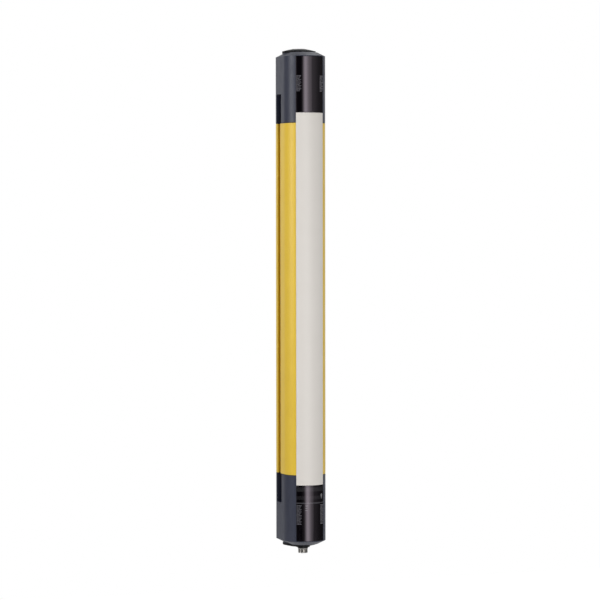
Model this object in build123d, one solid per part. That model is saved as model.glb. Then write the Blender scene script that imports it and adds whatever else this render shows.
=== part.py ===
from build123d import *
import os
from math import cos, degrees, radians, sin, sqrt

os.makedirs("parts", exist_ok=True)

# Multi-beam safety light barrier: a two-beam column. Millimetres, +Z up.
# The origin lies under the centre of the plan, level with the tip of the connector. The front is -Y.

# Housing outline
housing_length = 600.0  # between the faces of the two pivot discs
body_width = 52.0
body_depth = 64.7
rear_corner = 15.0
wall = 2.5
beam_inset = 50.0  # from each end face to its beam

# Clearances
fit_gap = 0.1  # between pieces that seat in each other
slide_gap = 0.2  # between pieces that slide into each other
shank_gap = 0.1  # round a screw's shank
end_gap = 0.15  # between the ends of window, cover and seal
hidden_sides = 8  # flats on hidden screws, pins and their holes
tube_sides = 16  # flats on the light tubes
cut_past = 1.0  # how far a cut runs past the face that it opens

# Side grooves
groove_from_back = 23.0  # back face to the groove's middle
groove_opening = 10.0
groove_lip = 2.0
groove_cavity = 16.0
groove_depth = 8.0
groove_wall = 2.0
pocket_corner = 2.0

# Front strip
cover_angle = 41.8  # half of the arc that windows and cover take
cover_thickness = 2.4
ledge_angle = 34.0  # where the ledges behind the strip end
ledge_thickness = 2.0
root_angle = 46.0  # how far round the ledges are rooted in the wall
hook_angle = 32.4
hook_thickness = 1.2
barb_angle = 2.4
barb_thickness = 0.9

# Stations of an end, measured from its end face
window_start = 9.8
window_end = 77.0
pocket_start = 54.0
cap_end = 88.5
opening_start = 14.0
opening_end = 72.0

# Windows and seals
window_thickness = 3.0
seal_thickness = 0.7
gasket_thickness = 0.8
gasket_inset = 0.3

# End caps
shoulder_rise = 4.5
shoulder_run = 9.0
end_wall = 3.5
disc_height = 4.5
disc_radius = 20.3
disc_flat_radius = 12.0
disc_bevel = 2.0
pedestal_depth = 5.0
pedestal_step = 0.4  # narrower than the disc on it
peg_radius = 1.5
peg_length = 2.0
peg_spread = 16.0
peg_back = 8.0  # behind the pivot axis

# Screw channels, beside the corners of the grooves
channel_rise = 1.4  # past the groove's wall
channel_wall = 1.8
channel_slot = 1.4
cap_screw_radius = 1.5
cap_screw_head_radius = 2.75
cap_screw_head_height = 3.0
cap_screw_bite = 12.0  # length in the extrusion

# Pivot screw and plug
pivot_screw_radius = 2.0
pivot_screw_head_radius = 3.5
pivot_screw_head_height = 2.2
pivot_screw_bite = 8.0
pivot_boss_wall = 2.2
pivot_screw_floor = 1.2  # disc left under the screw's head
plug_radius = 9.0
plug_rise = 0.8
plug_stem_radius = 4.9
plug_stem_wall = 0.8
plug_stem_length = 1.4

# Connector
connector_reach = 7.2  # below the lower disc
connector_offset = 11.75  # in front of the pivot axis
connector_radius = 6.0
connector_neck_radius = 5.2
connector_bore_radius = 4.4
connector_socket_depth = 5.6
connector_inner_length = 12.0
connector_pad_radius = 8.4
thread_spare = 1.0  # of the shell past its nut
seal_ring_height = 1.7
seal_ring_radius = 6.2
nut_across_flats = 14.0
nut_height = 2.6
pin_radius = 0.5
pin_circle_radius = 2.5
pin_count = 4
pin_length = 4.4
key_width = 1.2
key_depth = 0.7
key_recess = 1.0  # behind the mouth of the shell

# Carrier plate and its guides
carrier_from_back = 18.95  # back face to the middle of the plate
carrier_thickness = 1.6
carrier_start = 26.0
rib_thickness = 1.2
rib_length = 2.0

# Optics
optics_gap = 0.7  # between the rim of a holder and the window's seat
holder_rim_radius = 12.5
holder_rim_length = 2.5
holder_neck_radius = 5.2
holder_wall = 1.6
lens_radius = 11.2
lens_edge = 1.6
lens_crown = 1.9
flange_thickness = 2.5
flange_clearance = 2.0  # to the groove walls
flange_height = 36.0
pillar_size = 5.0
pillar_length = 8.1
board_margin = 1.5  # flange left beside the diode board
board_room = 0.5  # to the pillars
board_thickness = 1.6
diode_radius = 2.5
diode_length = 7.0
diode_chamfer = 0.9
board_screw_radius = 1.25
board_screw_head_radius = 2.25
board_screw_head_height = 1.6
board_screw_bite = 4.5
board_screw_tail = 1.0  # past the carrier

# Control board
control_board_start = 102.0
control_board_length = 150.0
board_clearance = 1.5  # to the groove walls
spacer_height = 3.0
spacer_radius = 2.6
spacer_inset = 4.0

# Components on the control board, in the order in which they stand
component_gap = 3.0
relay_count = 2
relay_width = 13.0
relay_depth = 11.0
relay_height = 29.0
processor_side = 12.0
processor_depth = 1.4
capacitor_radius = 3.15
capacitor_length = 8.0
choke_side = 7.0
choke_depth = 4.5

# Leads and ribbons
lead_width = 6.0
lead_thickness = 1.4
lead_turn = 17.0  # height at which the leads turn to the back
lead_depth = 3.2  # behind the carrier
lead_slant = 5.0
lead_plug_width = 12.0
lead_plug_wall = 1.5
lead_plug_start = 112.0
lead_plug_height = 13.0
ribbon_width = 8.0
ribbon_thickness = 0.9
ribbon_ramp = 10.0
ribbon_lift = 1.0  # past the pillars and the board's edge
ribbon_plug_inset = 8.0  # from the control board's edge
ribbon_plug_height = 5.0
ribbon_plug_thickness = 3.0
ribbon_plug_rim = 1.0  # wider than the cable, on each side

# Status lights behind the lower window
indicator_inset = 4.0  # below the end of the window's opening
indicator_depth = 11.75  # behind the window
indicator_board_width = 18.0
indicator_board_height = 12.0
indicator_board_drop = 3.5  # below the lights
arm_width = 10.0
arm_thickness = 2.5
arm_rise = 1.5  # above the lights
guide_radius = 1.5
guide_spread = 7.0
guide_bar_length = 2.0

# Worked out from the sizes above
front_radius = body_width / 2
front_axis_y = front_radius - body_depth / 2
back_y = body_depth / 2
pivot_y = back_y - groove_from_back
lower_face = connector_reach
upper_face = lower_face + housing_length
groove_reach = groove_lip + groove_depth + groove_wall
channel_width = body_width - 2 * groove_reach
channel_bore = cap_screw_radius + shank_gap
channel_outer = channel_bore + channel_wall
channel_x = channel_width / 2 - channel_wall
channel_y = groove_cavity / 2 + groove_wall + channel_rise
connector_y = pivot_y - connector_offset
cover_inner = front_radius - cover_thickness
ledge_outer = cover_inner - fit_gap
ledge_inner = ledge_outer - ledge_thickness
window_inner = front_radius - window_thickness
seat_outer = window_inner - seal_thickness - fit_gap
seat_inner = seat_outer - ledge_thickness
carrier_y = back_y - carrier_from_back
carrier_front_y = carrier_y - carrier_thickness / 2
carrier_back_y = carrier_y + carrier_thickness / 2
holder_front_y = front_axis_y - sqrt(seat_inner**2 - holder_rim_radius**2) + optics_gap
flange_back_y = carrier_front_y - pillar_length
flange_front_y = flange_back_y - flange_thickness
flange_width = channel_width - 2 * flange_clearance
diode_board_width = flange_width - 2 * board_margin
diode_board_height = flange_height - 2 * pillar_size - 2 * board_room
diode_board_back_y = flange_back_y + board_thickness
control_board_width = channel_width - 2 * board_clearance
control_board_back_y = carrier_front_y - spacer_height
control_board_front_y = control_board_back_y - board_thickness
control_board_end = control_board_start + control_board_length
lead_y = carrier_back_y + lead_depth
components_start = control_board_start + ribbon_plug_inset + ribbon_plug_height + component_gap
indicator_height = opening_end - indicator_inset
indicator_board_y = front_axis_y - window_inner + indicator_depth
inner_face = disc_height + end_wall
channel_spots = [
    (side * channel_x, pivot_y + row * channel_y) for side in (-1, 1) for row in (-1, 1)
]


def outline(inset=0.0):
    """Plan outline of the housing, moved inward by inset."""
    half = front_radius - inset
    straight = back_y - inset - front_axis_y
    trunk = Pos(0, front_axis_y + straight / 2) * Rectangle(2 * half, straight)
    rear = trunk.vertices().group_by(Axis.Y)[-1]
    return Pos(0, front_axis_y) * Circle(half) + fillet(rear, rear_corner - inset)


def wedge(half_angle):
    """Triangle that opens to the front from the front axis."""
    reach = 2 * body_width
    right = (reach * sin(radians(half_angle)), -reach * cos(radians(half_angle)))
    left = (-right[0], right[1])
    return Pos(0, front_axis_y) * Polygon((0, 0), left, right, align=None)


def arc_band(inner, outer, half_angle, start_angle=0.0):
    """Part of a ring about the front axis, on both sides where start_angle is given."""
    ring = Pos(0, front_axis_y) * (Circle(outer) - Circle(inner))
    band = ring & wedge(half_angle)
    return band - wedge(start_angle) if start_angle else band


def box(x_range, y_range, z_range):
    """Block between two limits on each axis."""
    spans = (x_range, y_range, z_range)
    size = [high - low for low, high in spans]
    middle = [(high + low) / 2 for low, high in spans]
    return Pos(*middle) * Box(*size)


def shank_plan(radius):
    """Section of hidden round stock, with few flats that stay inside the circle."""
    return RegularPolygon(radius, hidden_sides)


def hole_plan(radius):
    """Section of a hidden round hole, with few flats that stay outside the circle."""
    return RegularPolygon(radius, hidden_sides, major_radius=False)


def upright(radius, start, end, x=0.0, y=0.0, plan=Circle):
    """Round form along Z between two heights."""
    return Pos(x, y, start) * extrude(plan(radius), amount=end - start)


def level(radius, start, end, x=0.0, z=0.0, plan=Circle):
    """Round form along Y between two depths."""
    return Pos(x, start, z) * Rot(-90, 0, 0) * extrude(plan(radius), amount=end - start)


def slab(section, start, end):
    """Plan section raised from one height to another."""
    return Pos(0, 0, start) * extrude(section, amount=end - start)


def groove_boxes():
    """Plan of the walls round both side grooves."""
    height = groove_cavity + 2 * groove_wall
    boxes = [
        Pos(side * (front_radius - groove_reach / 2), pivot_y) * Rectangle(groove_reach, height)
        for side in (-1, 1)
    ]
    return (boxes[0] + boxes[1]) & outline()


def groove_voids(opening):
    """Plan of both side grooves, with their mouth as wide as opening."""
    cavity_x = front_radius - groove_lip - groove_depth / 2
    mouth_x = front_radius - groove_lip / 2
    mouth_reach = groove_lip + 2 * cut_past
    voids = []
    for side in (-1, 1):
        voids.append(Pos(side * cavity_x, pivot_y) * Rectangle(groove_depth, groove_cavity))
        voids.append(Pos(side * mouth_x, pivot_y) * Rectangle(mouth_reach, opening))
    return voids[0] + voids[1] + voids[2] + voids[3]


def wall_section():
    """Plan of the outer wall with its side grooves and front ledges."""
    section = outline() - outline(wall)
    section = section + groove_boxes() - groove_voids(groove_opening)
    section = section + arc_band(ledge_inner, front_radius, root_angle, cover_angle)
    section = section - arc_band(ledge_outer, 2 * front_radius, cover_angle)
    section = section - arc_band(ledge_inner, 2 * front_radius, ledge_angle)
    return section + arc_band(ledge_inner, ledge_outer, root_angle, ledge_angle)


def profile_section():
    """Plan of the extrusion: wall, grooves, ledges, screw channels and guide ribs."""
    section = wall_section()
    for x, y in channel_spots:
        section = section + Pos(x, y) * Circle(channel_outer)
    for x, y in channel_spots:
        slot_length = channel_outer + cut_past
        slot_x = x - slot_length / 2 if x > 0 else x + slot_length / 2
        section = section - Pos(x, y) * Circle(channel_bore)
        section = section - Pos(slot_x, y) * Rectangle(slot_length, channel_slot)
    rib_offset = carrier_thickness / 2 + slide_gap + rib_thickness / 2
    for side in (-1, 1):
        for face in (-1, 1):
            spot = Pos(side * (channel_width - rib_length) / 2, carrier_y + face * rib_offset)
            section = section + spot * Rectangle(rib_length, rib_thickness)
    return section


def housing_profile():
    """The extrusion, from gasket to gasket."""
    joint = cap_end + gasket_thickness
    return slab(profile_section(), lower_face + joint, upper_face - joint)


def front_cover():
    """Curved strip that covers the front, with snap hooks behind the ledges."""
    skin = arc_band(cover_inner, front_radius, cover_angle - degrees_of(slide_gap))
    cover = slab(skin, lower_face + window_end + end_gap, upper_face - window_end - end_gap)
    leg_inner = ledge_inner - fit_gap - barb_thickness
    leg_start = hook_angle - degrees_of(hook_thickness)
    barb_outer = ledge_inner - fit_gap
    legs = arc_band(leg_inner, cover_inner + cover_thickness / 2, hook_angle, leg_start)
    barbs = arc_band(leg_inner, barb_outer, hook_angle + barb_angle, leg_start)
    joint = cap_end + gasket_thickness + slide_gap
    return cover + slab(legs + barbs, lower_face + joint, upper_face - joint)


def degrees_of(length):
    """Angle that a short length takes on the front arc."""
    return degrees(length / front_radius)


def cap_blank(inset, start):
    """Cap outline with its sloped shoulder, moved inward by inset."""
    body = slab(outline(inset), start, cap_end)
    end_face = body.faces().sort_by(Axis.Z)[0]
    return chamfer(end_face.edges(), shoulder_run, shoulder_rise, reference=end_face)


def end_cap():
    """What both caps share, in the frame of an end: z runs inward from the end face."""
    blank = cap_blank(0.0, disc_height)
    cap = blank - cap_blank(wall, inner_face)
    cap = cap + (slab(arc_band(seat_inner, front_radius, root_angle), disc_height, cap_end) & blank)
    pedestal_end = disc_height + pedestal_depth
    pedestal = upright(disc_radius - pedestal_step, disc_height, pedestal_end, y=pivot_y)
    cap = cap + (pedestal - cap_blank(wall, inner_face))
    pocket_floor = pocket_start - groove_wall
    cap = cap + slab(groove_boxes(), pocket_floor, cap_end)
    for x, y in channel_spots:
        cap = cap + upright(channel_outer, inner_face, cap_end, x, y, shank_plan)
    pocket_height = cap_end - pocket_start + cut_past
    pocket_reach = groove_lip + groove_depth + cut_past
    for side in (-1, 1):
        pocket_x = side * (front_radius - groove_lip - groove_depth + pocket_reach / 2)
        pocket = Box(pocket_reach, groove_cavity, pocket_height)
        corners = pocket.edges().filter_by(Axis.X).group_by(Axis.Z)[0]
        pocket = fillet(corners, pocket_corner)
        cap = cap - Pos(pocket_x, pivot_y, pocket_start + pocket_height / 2) * pocket
    cap = cap - slab(arc_band(seat_outer, 2 * front_radius, cover_angle), window_start, window_end)
    cap = cap - slab(arc_band(ledge_outer, 2 * front_radius, cover_angle), window_end, cap_end)
    opening = arc_band(seat_inner - cut_past, 2 * front_radius, ledge_angle)
    cap = cap - slab(opening, opening_start, opening_end)
    head_end = disc_height + cap_screw_head_height
    for x, y in channel_spots:
        cap = cap - upright(cap_screw_radius + shank_gap, disc_height, cap_end, x, y, hole_plan)
        cap = cap - upright(cap_screw_head_radius + slide_gap, disc_height, head_end, x, y, hole_plan)
    for side in (-1, 1):
        peg_x = side * peg_spread / 2
        peg_y = pivot_y + peg_back
        hole_end = disc_height + peg_length + slide_gap
        hole = upright(peg_radius + fit_gap, disc_height, hole_end, peg_x, peg_y, hole_plan)
        cap = cap - hole
    return cap


def pivot_disc():
    """Bevelled disc that an end turns on while it is being set up."""
    section = Polygon(
        (0, 0),
        (disc_flat_radius, 0),
        (disc_radius, disc_bevel),
        (disc_radius, disc_height),
        (0, disc_height),
        align=None,
    )
    disc = Pos(0, pivot_y, 0) * revolve(Plane.XZ * section, Axis.Z)
    for side in (-1, 1):
        peg_x = side * peg_spread / 2
        peg_end = disc_height + peg_length
        disc = disc + upright(peg_radius, disc_height, peg_end, peg_x, pivot_y + peg_back, shank_plan)
    return disc


def upper_end_cap():
    """Shared cap with the boss for the pivot screw."""
    bore_radius = pivot_screw_radius + shank_gap
    boss_end = disc_height + pivot_screw_bite + end_wall
    boss = upright(bore_radius + pivot_boss_wall, disc_height, boss_end, y=pivot_y, plan=shank_plan)
    return end_cap() + boss - upright(bore_radius, disc_height, boss_end, y=pivot_y, plan=hole_plan)


def lower_end_cap():
    """Shared cap with the hole for the connector."""
    return end_cap() - upright(connector_radius + fit_gap, disc_height, inner_face, y=connector_y)


def upper_pivot_disc():
    """Pivot disc with a stepped hole for its screw and plug."""
    disc = pivot_disc()
    screw_seat = disc_height - pivot_screw_floor
    disc = disc - upright(pivot_screw_radius + slide_gap, 0, disc_height, y=pivot_y, plan=hole_plan)
    disc = disc - upright(plug_stem_radius + fit_gap, 0, screw_seat, y=pivot_y, plan=hole_plan)
    return disc


def lower_pivot_disc():
    """Pivot disc with a flat pad round the connector's hole."""
    disc = pivot_disc() + upright(connector_pad_radius, 0, disc_height, y=connector_y)
    return disc - upright(connector_radius + fit_gap, 0, disc_height, y=connector_y)


def pivot_screw():
    """Screw that holds the upper disc."""
    seat = disc_height - pivot_screw_floor
    head_start = seat - pivot_screw_head_height
    tip = disc_height + pivot_screw_bite
    head = upright(pivot_screw_head_radius, head_start, seat, y=pivot_y, plan=shank_plan)
    return head + upright(pivot_screw_radius, seat, tip, y=pivot_y, plan=shank_plan)


def top_plug():
    """Thin cap over the pivot screw, with a short round skirt."""
    plate = upright(plug_radius, -plug_rise, 0, y=pivot_y)
    skirt = upright(plug_stem_radius, 0, plug_stem_length, y=pivot_y, plan=shank_plan)
    hollow_radius = plug_stem_radius - plug_stem_wall
    return plate + (skirt - upright(hollow_radius, 0, plug_stem_length, y=pivot_y, plan=shank_plan))


def window():
    """Curved optical window."""
    section = arc_band(window_inner, front_radius, cover_angle - degrees_of(slide_gap))
    return slab(section, window_start + end_gap, window_end - end_gap)


def window_seal():
    """Frame-shaped seal between a window and its seat."""
    half_angle = cover_angle - degrees_of(slide_gap)
    band = arc_band(seat_outer + fit_gap / 2, window_inner - fit_gap / 2, half_angle)
    frame = slab(band, window_start + end_gap, window_end - end_gap)
    hole = arc_band(seat_inner, front_radius, ledge_angle)
    return frame - slab(hole, opening_start, opening_end)


def cap_gasket():
    """Flat gasket between a cap and the extrusion."""
    return slab(wall_section() & outline(gasket_inset), cap_end, cap_end + gasket_thickness)


def cap_screws():
    """Four long screws from under the pivot disc into the extrusion."""
    seat = disc_height + cap_screw_head_height
    tip = cap_end + gasket_thickness + cap_screw_bite
    return [
        upright(cap_screw_head_radius, seat - cap_screw_head_height, seat, x, y, shank_plan)
        + upright(cap_screw_radius, seat, tip, x, y, shank_plan)
        for x, y in channel_spots
    ]


def connector_shell():
    """Threaded sleeve of the connector, down through the disc and the cap."""
    inner_end = inner_face + nut_height + thread_spare
    tip = -connector_reach
    shell = upright(connector_radius, tip, inner_end, y=connector_y)
    rim = upright(connector_radius + cut_past, -seal_ring_height, 0, y=connector_y)
    neck = upright(connector_neck_radius, -seal_ring_height, 0, y=connector_y)
    shell = shell - (rim - neck)
    return shell - upright(connector_bore_radius, tip, inner_end, y=connector_y)


def connector_seal():
    """Dark ring between the thread and the disc."""
    ring = upright(seal_ring_radius, -seal_ring_height, 0, y=connector_y)
    return ring - upright(connector_neck_radius + fit_gap, -seal_ring_height, 0, y=connector_y)


def pin_spots():
    """Plan places of the contact pins."""
    angles = [45 + 360 / pin_count * i for i in range(pin_count)]
    return [
        (pin_circle_radius * cos(radians(a)), connector_y + pin_circle_radius * sin(radians(a)))
        for a in angles
    ]


def connector_insert():
    """Moulded core that holds the pins, with its coding key."""
    face = connector_socket_depth - connector_reach
    radius = connector_bore_radius - fit_gap
    insert = upright(radius, face, connector_inner_length, y=connector_y)
    key_front = connector_y - radius
    key_start = key_recess - connector_reach
    key = box((-key_width / 2, key_width / 2), (key_front, key_front + key_depth), (key_start, face))
    insert = insert + (key & upright(radius, key_start, face, y=connector_y))
    for x, y in pin_spots():
        insert = insert - upright(pin_radius, face, connector_inner_length, x, y, hole_plan)
    return insert


def connector_pins():
    """Contact pins, from inside the shell to the leads."""
    face = connector_socket_depth - connector_reach
    tip = face - pin_length
    end = connector_inner_length
    return [upright(pin_radius, tip, end, x, y, shank_plan) for x, y in pin_spots()]


def connector_nut():
    """Hexagon nut on the inner wall of the lower cap."""
    hexagon = RegularPolygon(nut_across_flats / 2, 6, major_radius=False)
    plan = Pos(0, connector_y) * (hexagon - Circle(connector_radius + fit_gap))
    return slab(plan, inner_face, inner_face + nut_height)


def carrier_plate():
    """Long sheet in the guide ribs, with screw holes and a window for the lead plug."""
    width = channel_width - 2 * slide_gap
    plate = box(
        (-width / 2, width / 2),
        (carrier_front_y, carrier_back_y),
        (lower_face + carrier_start, upper_face - carrier_start),
    )
    holes = [(x, lower_face + z) for x, z in optics_screw_spots()]
    holes += [(x, upper_face - z) for x, z in optics_screw_spots()]
    holes += [(x, lower_face + z) for x, z in spacer_spots()]
    hole_radius = board_screw_radius + shank_gap
    for x, z in holes:
        plate = plate - level(hole_radius, carrier_front_y, carrier_back_y, x, z, hole_plan)
    half = lead_plug_width / 2 + slide_gap
    low = lower_face + lead_plug_start - slide_gap
    high = lower_face + lead_plug_start + lead_plug_height + slide_gap
    return plate - box((-half, half), (carrier_front_y, carrier_back_y), (low, high))


def optics_screw_spots():
    """Places of an optics holder's four screws, as x and height above the end face."""
    x = (flange_width - pillar_size) / 2
    rise = (flange_height - pillar_size) / 2
    return [(side * x, beam_inset + up * rise) for side in (-1, 1) for up in (-1, 1)]


def tube_part(front, back):
    """Round part along Y, with few flats, between two ends that are each a depth and a radius."""
    ends = []
    for depth, radius in (front, back):
        plane = Plane((0, depth, 0), x_dir=(1, 0, 0), z_dir=(0, 1, 0))
        ends.append(plane * RegularPolygon(radius, tube_sides))
    return loft(ends, ruled=True)


def optics_holder():
    """Conical light tube with a flange and four pillars that stand on the carrier."""
    rim_back = holder_front_y + holder_rim_length
    lens_seat = holder_front_y + lens_edge + fit_gap
    lens_bore = (lens_radius + fit_gap) / cos(radians(180 / tube_sides))
    throat_radius = holder_neck_radius - holder_wall
    tube = tube_part((holder_front_y, holder_rim_radius), (rim_back, holder_rim_radius))
    tube = tube + tube_part((rim_back, holder_rim_radius), (flange_front_y, holder_neck_radius))
    flange = box(
        (-flange_width / 2, flange_width / 2),
        (flange_front_y, flange_back_y),
        (-flange_height / 2, flange_height / 2),
    )
    holder = tube + flange
    holder = holder - tube_part((holder_front_y, lens_bore), (lens_seat, lens_bore))
    holder = holder - tube_part((lens_seat, lens_bore - holder_wall), (flange_front_y, throat_radius))
    holder = holder - tube_part((flange_front_y, throat_radius), (flange_back_y, throat_radius))
    holder = Pos(0, 0, beam_inset) * holder
    half = pillar_size / 2
    bore_start = carrier_front_y - board_screw_bite - slide_gap
    bore_radius = board_screw_radius + shank_gap
    for x, z in optics_screw_spots():
        pillar = box((x - half, x + half), (flange_back_y, carrier_front_y), (z - half, z + half))
        holder = holder + (pillar - level(bore_radius, bore_start, carrier_front_y, x, z, hole_plan))
    return holder


def lower_optics_holder():
    """Optics holder with the arm that carries the status lights."""
    arm_low = indicator_height + arm_rise
    arm_top = arm_low + arm_thickness
    half = arm_width / 2
    reach = box((-half, half), (indicator_board_y, flange_back_y), (arm_low, arm_top))
    post = box((-half, half), (flange_front_y, flange_back_y), (beam_inset, arm_top))
    throat_radius = holder_neck_radius - holder_wall
    throat = tube_part((flange_front_y, throat_radius), (flange_back_y, throat_radius))
    return optics_holder() + reach + (post - Pos(0, 0, beam_inset) * throat)


def lens():
    """Plano-convex lens, crowned towards the diode."""
    flat_y = holder_front_y
    edge_y = flat_y + lens_edge
    clear_radius = lens_radius - holder_wall
    dome_radius = (clear_radius**2 + lens_crown**2) / (2 * lens_crown)
    disc = level(lens_radius, flat_y, edge_y)
    dome = Pos(0, edge_y + lens_crown - dome_radius, 0) * Sphere(dome_radius)
    dome = dome & level(clear_radius, edge_y, edge_y + lens_crown)
    return Pos(0, 0, beam_inset) * (disc + dome)


def diode_board():
    """Small board behind the light tube."""
    half_width = diode_board_width / 2
    half_height = diode_board_height / 2
    return box(
        (-half_width, half_width),
        (flange_back_y, diode_board_back_y),
        (beam_inset - half_height, beam_inset + half_height),
    )


def diode():
    """Diode in the neck of the light tube, with a bevelled dome."""
    tip = flange_back_y - diode_length
    body = level(diode_radius, tip, flange_back_y, z=beam_inset, plan=shank_plan)
    front = body.faces().sort_by(Axis.Y)[0]
    return chamfer(front.edges(), diode_chamfer)


def optics_screw(x, z):
    """Pan-head screw from behind the carrier into a pillar."""
    seat_y = carrier_back_y
    top = seat_y + board_screw_head_height
    tip = seat_y - carrier_thickness - board_screw_bite
    head = level(board_screw_head_radius, seat_y, top, x, z, shank_plan)
    return head + level(board_screw_radius, tip, seat_y, x, z, shank_plan)


def optics_screws():
    """The four screws of an optics holder."""
    return [optics_screw(x, z) for x, z in optics_screw_spots()]


def spacer_spots():
    """Places of the control board's four spacers, as x and height above the lower face."""
    x = control_board_width / 2 - spacer_inset
    ends = (control_board_start + spacer_inset, control_board_end - spacer_inset)
    return [(side * x, z) for side in (-1, 1) for z in ends]


def control_board():
    """Main board, in front of the carrier."""
    half = control_board_width / 2
    faces = (control_board_front_y, control_board_back_y)
    board = box((-half, half), faces, (control_board_start, control_board_end))
    for x, z in spacer_spots():
        board = board - level(board_screw_radius + shank_gap, *faces, x, z, hole_plan)
    return board


def board_spacers():
    """Round spacers between board and carrier."""
    spacers = []
    ends = (control_board_back_y, carrier_front_y)
    for x, z in spacer_spots():
        post = level(spacer_radius, *ends, x, z, shank_plan)
        spacers.append(post - level(board_screw_radius + shank_gap, *ends, x, z, hole_plan))
    return spacers


def board_screws():
    """Screws through board, spacers and carrier."""
    screws = []
    tip = carrier_back_y + board_screw_tail
    seat = control_board_front_y
    for x, z in spacer_spots():
        head = level(board_screw_head_radius, seat - board_screw_head_height, seat, x, z, shank_plan)
        screws.append(head + level(board_screw_radius, seat, tip, x, z, shank_plan))
    return screws


def board_components():
    """Relays, processor, capacitors and choke on the front of the control board."""
    face = control_board_front_y
    station = components_start
    components = []
    blocks = [(relay_width, relay_depth, relay_height)] * relay_count
    blocks.append((processor_side, processor_depth, processor_side))
    for width, depth, height in blocks:
        ends = (station, station + height)
        components.append(box((-width / 2, width / 2), (face - depth, face), ends))
        station += height + component_gap
    station += capacitor_radius
    for side in (-1, 1):
        x = side * (capacitor_radius + component_gap / 2)
        components.append(level(capacitor_radius, face - capacitor_length, face, x, station, shank_plan))
    station += capacitor_radius + component_gap
    half = choke_side / 2
    components.append(box((-half, half), (face - choke_depth, face), (station, station + choke_side)))
    return components


def flat_cable(route, thickness, width):
    """Flat cable with mitred bends, from its route in the side view as depth and height."""
    points = [Vector(*point) for point in route]
    headings = [(after - before).normalized() for before, after in zip(points, points[1:])]
    edge = []
    for point, before, after in zip(points, headings[:1] + headings, headings + headings[-1:]):
        mitre = (before + after).rotate(Axis.Z, 90) * (thickness / 2 / (1 + before.dot(after)))
        edge.append((point, mitre))
    front_line = [point + mitre for point, mitre in edge]
    back_line = [point - mitre for point, mitre in reversed(edge)]
    strip = Plane.YZ * Polygon(*front_line, *back_line, align=None)
    return extrude(strip, amount=width / 2, both=True)


def ribbon_cable(board_edge):
    """Flat cable along the carrier, from a diode board over the edge of the control board."""
    carrier_level = carrier_front_y - ribbon_thickness / 2 - fit_gap
    diode_level = diode_board_back_y + ribbon_plug_thickness / 2
    board_level = control_board_front_y - ribbon_plug_thickness / 2
    past_pillars = beam_inset + flange_height / 2 + ribbon_lift
    before_board = board_edge - ribbon_lift - ribbon_thickness
    route = [
        (diode_level, beam_inset + ribbon_plug_height / 2),
        (diode_level, past_pillars),
        (carrier_level, past_pillars + ribbon_ramp),
        (carrier_level, before_board - ribbon_ramp),
        (board_level, before_board),
        (board_level, board_edge + ribbon_plug_inset),
    ]
    return flat_cable(route, ribbon_thickness, ribbon_width)


def ribbon_plugs(board_edge):
    """Plugs at the two ends of a ribbon cable, on the boards."""
    half = ribbon_width / 2 + ribbon_plug_rim
    diode_top = beam_inset + ribbon_plug_height / 2
    board_low = board_edge + ribbon_plug_inset
    diode_y = (diode_board_back_y, diode_board_back_y + ribbon_plug_thickness)
    board_y = (control_board_front_y - ribbon_plug_thickness, control_board_front_y)
    return [
        box((-half, half), diode_y, (diode_top - ribbon_plug_height, diode_top)),
        box((-half, half), board_y, (board_low, board_low + ribbon_plug_height)),
    ]


def connector_leads():
    """Flat set of leads, under the carrier and up behind it to their plug."""
    route = [
        (connector_y, connector_inner_length),
        (connector_y, lead_turn),
        (lead_y, lead_turn + lead_slant),
        (lead_y, lead_plug_start),
    ]
    return flat_cable(route, lead_thickness, lead_width)


def lead_plug():
    """Plug behind the control board, through the window in the carrier."""
    half = lead_plug_width / 2
    back = lead_y + lead_thickness / 2 + lead_plug_wall
    ends = (lead_plug_start, lead_plug_start + lead_plug_height)
    return box((-half, half), (control_board_back_y, back), ends)


def indicator_board():
    """Small board for the status lights, on the arm of the lower holder."""
    half = indicator_board_width / 2
    front = indicator_board_y - board_thickness
    low = indicator_height - indicator_board_drop
    return box((-half, half), (front, indicator_board_y), (low, low + indicator_board_height))


def indicator_light_guide():
    """Two clear rods on a bar, from the board to the window."""
    board_face = indicator_board_y - board_thickness
    rod_x = guide_spread / 2
    outer_x = rod_x + guide_radius
    rod_end = front_axis_y - sqrt(window_inner**2 - outer_x**2) + 2 * slide_gap
    low, high = indicator_height - guide_radius, indicator_height + guide_radius
    guide = box((-outer_x, outer_x), (board_face - guide_bar_length, board_face), (low, high))
    bar_face = board_face - guide_bar_length
    for x in (-rod_x, rod_x):
        guide = guide + level(guide_radius, rod_end, bar_face, x, indicator_height, shank_plan)
    return guide


def at_lower(piece):
    """Moves a piece from the frame of an end to the lower end."""
    return Pos(0, 0, lower_face) * piece


def at_upper(piece):
    """Turns a piece from the frame of an end over to the upper end."""
    return Pos(0, 0, upper_face) * mirror(piece, about=Plane.XY)


def save(name, *solids):
    """Writes one node, as one solid or a group of separate solids."""
    shape = solids[0] if len(solids) == 1 else Compound(children=list(solids))
    export_step(shape, f"parts/{name}.step")


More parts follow.
